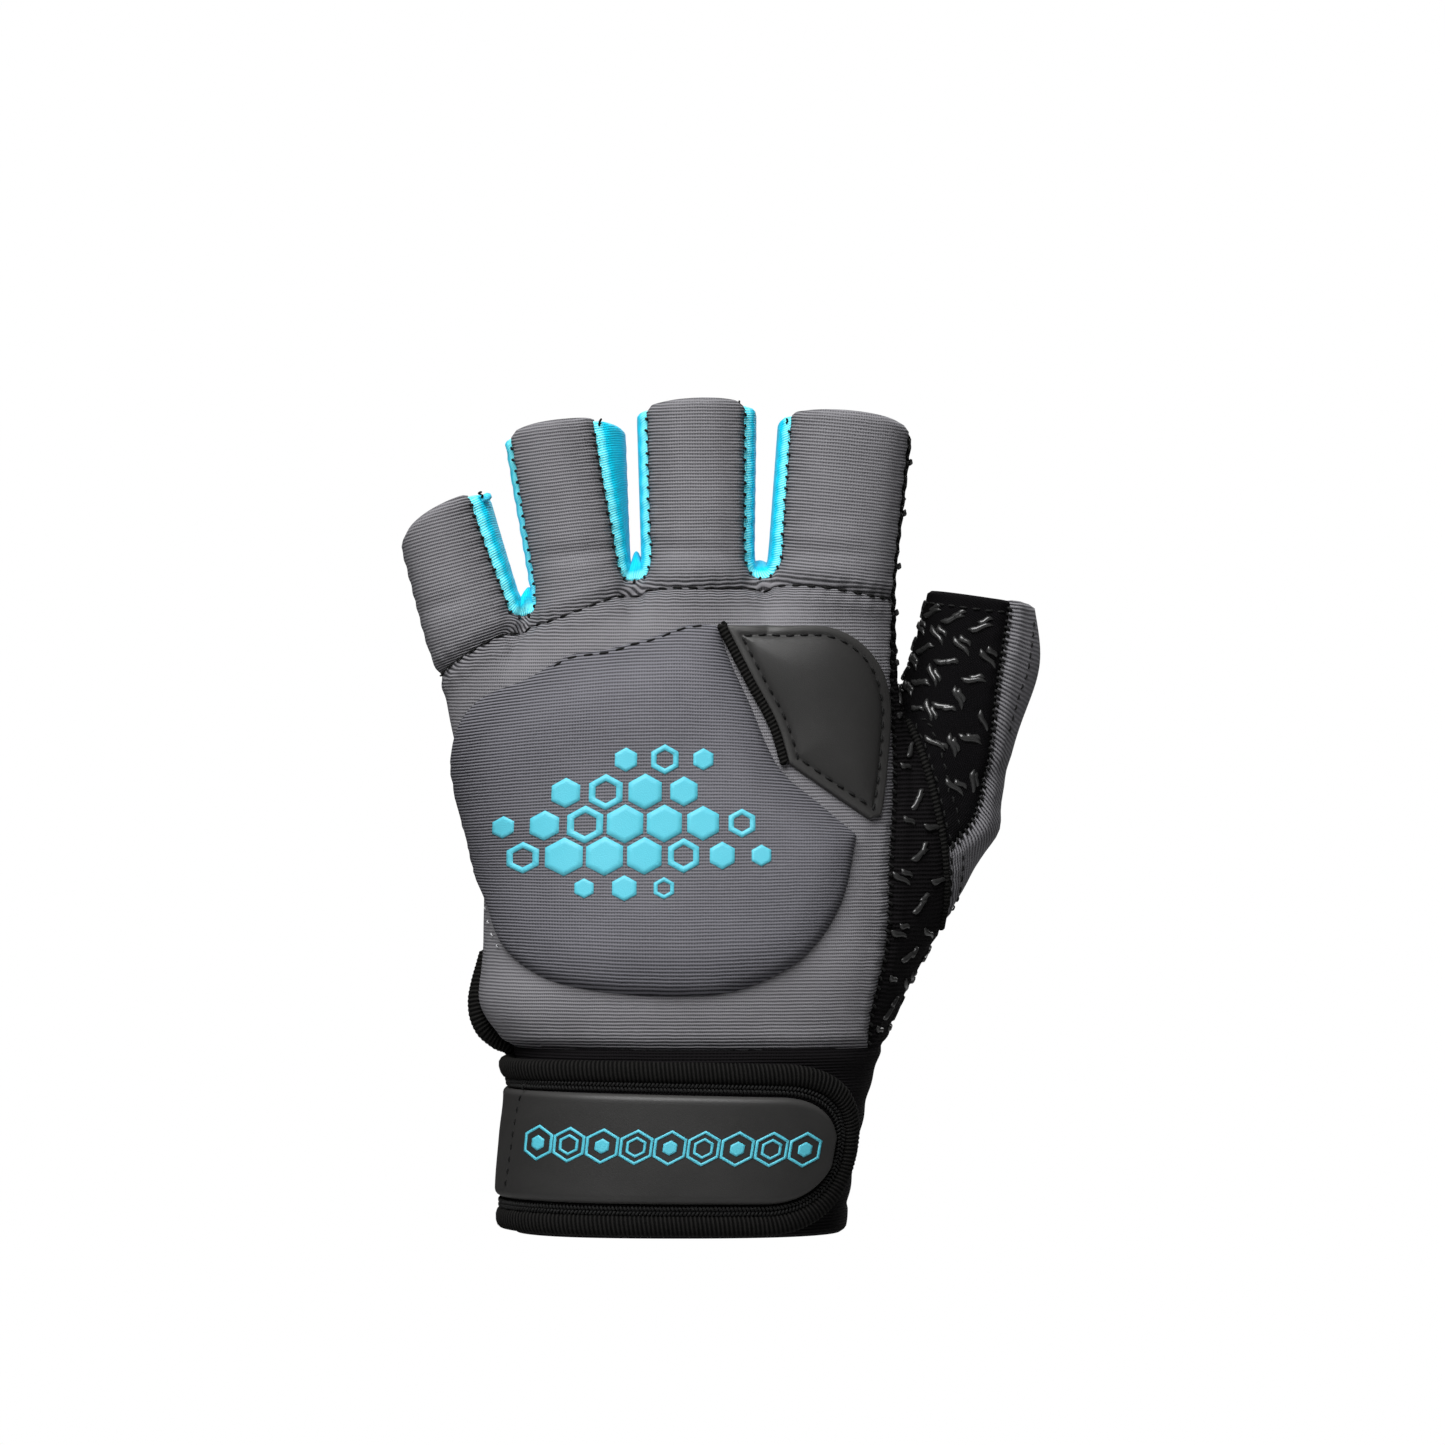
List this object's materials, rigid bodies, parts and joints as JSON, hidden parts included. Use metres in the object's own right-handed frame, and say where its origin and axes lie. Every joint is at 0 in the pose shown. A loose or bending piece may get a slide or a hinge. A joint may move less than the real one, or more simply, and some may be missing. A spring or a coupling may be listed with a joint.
{
  "type": "field hockey glove",
  "caption": "Left-hand field hockey glove with half fingers, ribbed padded back with a shell pad, stretch gussets between the fingers, gripped palm and a wrap-round wrist strap.",
  "frame": {"origin": "centre of the wrist opening, in the plane of the cuff's hem", "axes": "+Z to the fingertips, -Y is the back of the hand, +X is the thumb side"},
  "size_m": [0.1289, 0.0535, 0.165],
  "materials": {
    "grey_rib_knit": "dark grey ribbed knit laminated on thin foam, matt",
    "black_knit": "black fine stretch knit, matt, with small grip marks on the palm side",
    "turquoise_stretch": "bright turquoise stretch knit, slight sheen",
    "coated_patch": "dark grey coated cloth, soft satin",
    "black_tape": "black ribbed binding tape, matt"
  },
  "bodies": {
    "root": {"finger_panel": "grey_rib_knit", "hand_back": "grey_rib_knit", "shell_pad": "grey_rib_knit", "knuckle_patch": "coated_patch", "gusset_little_ring": "turquoise_stretch", "gusset_ring_middle": "turquoise_stretch", "gusset_middle_index": "turquoise_stretch", "palm": "black_knit", "thumb_front": "black_knit", "thumb_back": "grey_rib_knit", "thumb_piping": "black_tape", "cuff": "black_knit", "strap": "black_knit", "strap_label": "coated_patch", "strap_binding": "black_tape", "edge_binding": "black_tape"}
  },
  "joints": []
}
